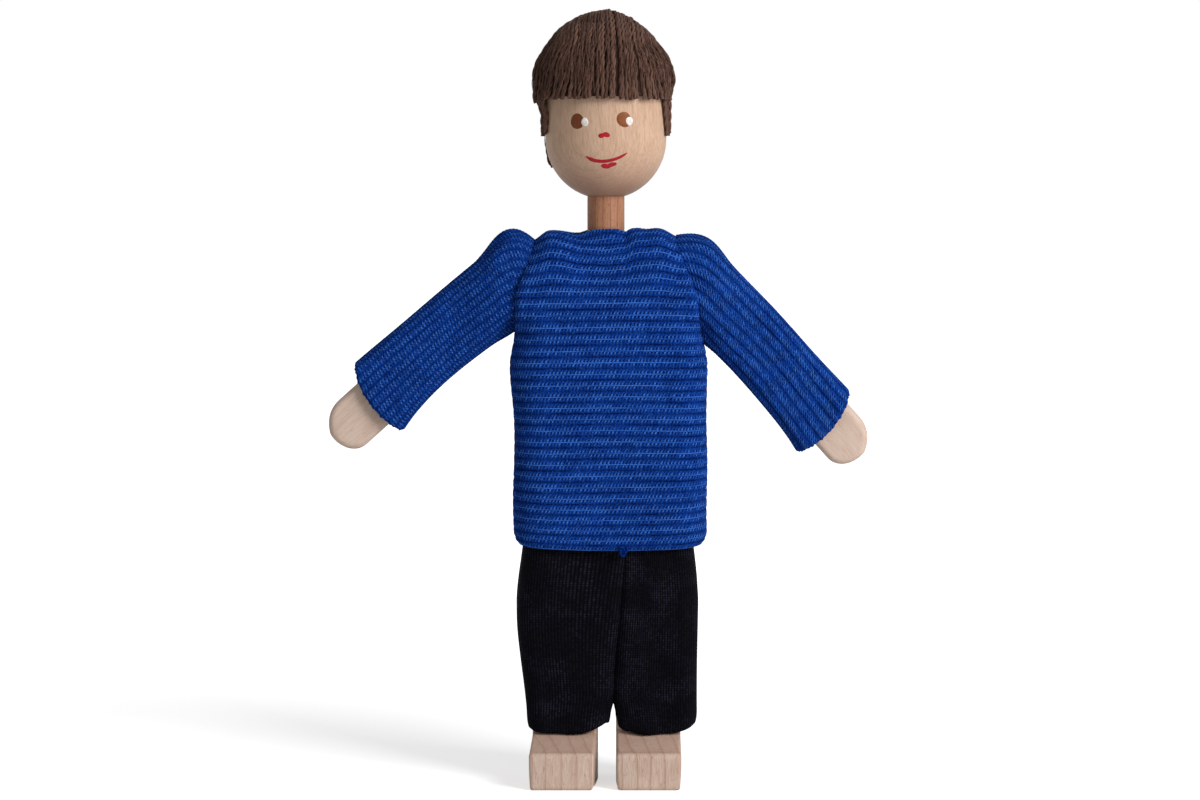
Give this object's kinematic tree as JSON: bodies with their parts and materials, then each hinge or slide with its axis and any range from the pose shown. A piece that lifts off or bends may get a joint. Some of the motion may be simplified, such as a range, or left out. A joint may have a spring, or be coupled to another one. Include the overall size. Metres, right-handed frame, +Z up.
{
  "type": "jointed wooden doll",
  "caption": "Small dressed wooden doll with a painted egg-shaped head, yarn hair, rib-knit sweater and dark trousers, jointed at the neck, shoulders and hips.",
  "frame": {"origin": "on the floor under the middle of the doll", "axes": "+Z up, the face looks along -Y, the doll's own left is +X"},
  "size_m": [0.1074, 0.0285, 0.1564],
  "materials": {
    "pale_wood": "fine sanded, bare",
    "brown_wood": "bare dowel",
    "brown_yarn": "twisted two-ply yarn",
    "blue_knit": "rib knit",
    "black_jersey": "fine jersey"
  },
  "bodies": {
    "torso": {"torso": "pale_wood", "neck_dowel": "brown_wood", "hip_pin": "brown_wood", "left_peg_keeper": "brown_wood", "right_peg_keeper": "brown_wood", "sweater_front": "blue_knit", "sweater_back": "blue_knit", "trousers_seat": "black_jersey", "trousers_waistband": "black_jersey"},
    "head": {"head": "pale_wood", "hair_fringe": "brown_yarn", "hair_back": "brown_yarn", "hair_left_lock": "brown_yarn", "hair_right_lock": "brown_yarn"},
    "left_shoulder": {"left_shoulder_peg": "brown_wood"},
    "right_shoulder": {"right_shoulder_peg": "brown_wood"},
    "left_arm": {"left_arm": "pale_wood", "left_shoulder_pin": "brown_wood", "left_sleeve": "blue_knit"},
    "right_arm": {"right_arm": "pale_wood", "right_shoulder_pin": "brown_wood", "right_sleeve": "blue_knit"},
    "left_leg": {"left_leg": "pale_wood", "trousers_left_leg": "black_jersey"},
    "right_leg": {"right_leg": "pale_wood", "trousers_right_leg": "black_jersey"}
  },
  "joints": [
    {"name": "head_turn", "type": "hinge", "parent": "torso", "child": "head", "pos_m": [0, 0, 0.1182], "axis": [0, 0, 1], "continuous": true},
    {"name": "left_shoulder_swing", "type": "hinge", "parent": "torso", "child": "left_shoulder", "pos_m": [0.02, 0, 0.1013], "axis": [-1, 0, 0], "range_deg": [-60, 150], "deforming": ["left_sleeve"]},
    {"name": "right_shoulder_swing", "type": "hinge", "parent": "torso", "child": "right_shoulder", "pos_m": [-0.02, 0, 0.1013], "axis": [-1, 0, 0], "range_deg": [-60, 150], "deforming": ["right_sleeve"]},
    {"name": "left_arm_lift", "type": "hinge", "parent": "left_shoulder", "child": "left_arm", "pos_m": [0.02, 0, 0.1013], "axis": [0, -1, 0], "range_deg": [-20, 80], "deforming": ["left_sleeve"]},
    {"name": "right_arm_lift", "type": "hinge", "parent": "right_shoulder", "child": "right_arm", "pos_m": [-0.02, 0, 0.1013], "axis": [0, 1, 0], "range_deg": [-20, 80], "deforming": ["right_sleeve"]},
    {"name": "left_hip", "type": "hinge", "parent": "torso", "child": "left_leg", "pos_m": [0.0086, 0, 0.041], "axis": [-1, 0, 0], "range_deg": [-30, 90], "deforming": ["trousers_seat", "trousers_left_leg"]},
    {"name": "right_hip", "type": "hinge", "parent": "torso", "child": "right_leg", "pos_m": [-0.0086, 0, 0.041], "axis": [-1, 0, 0], "range_deg": [-30, 90], "deforming": ["trousers_seat", "trousers_right_leg"]}
  ]
}
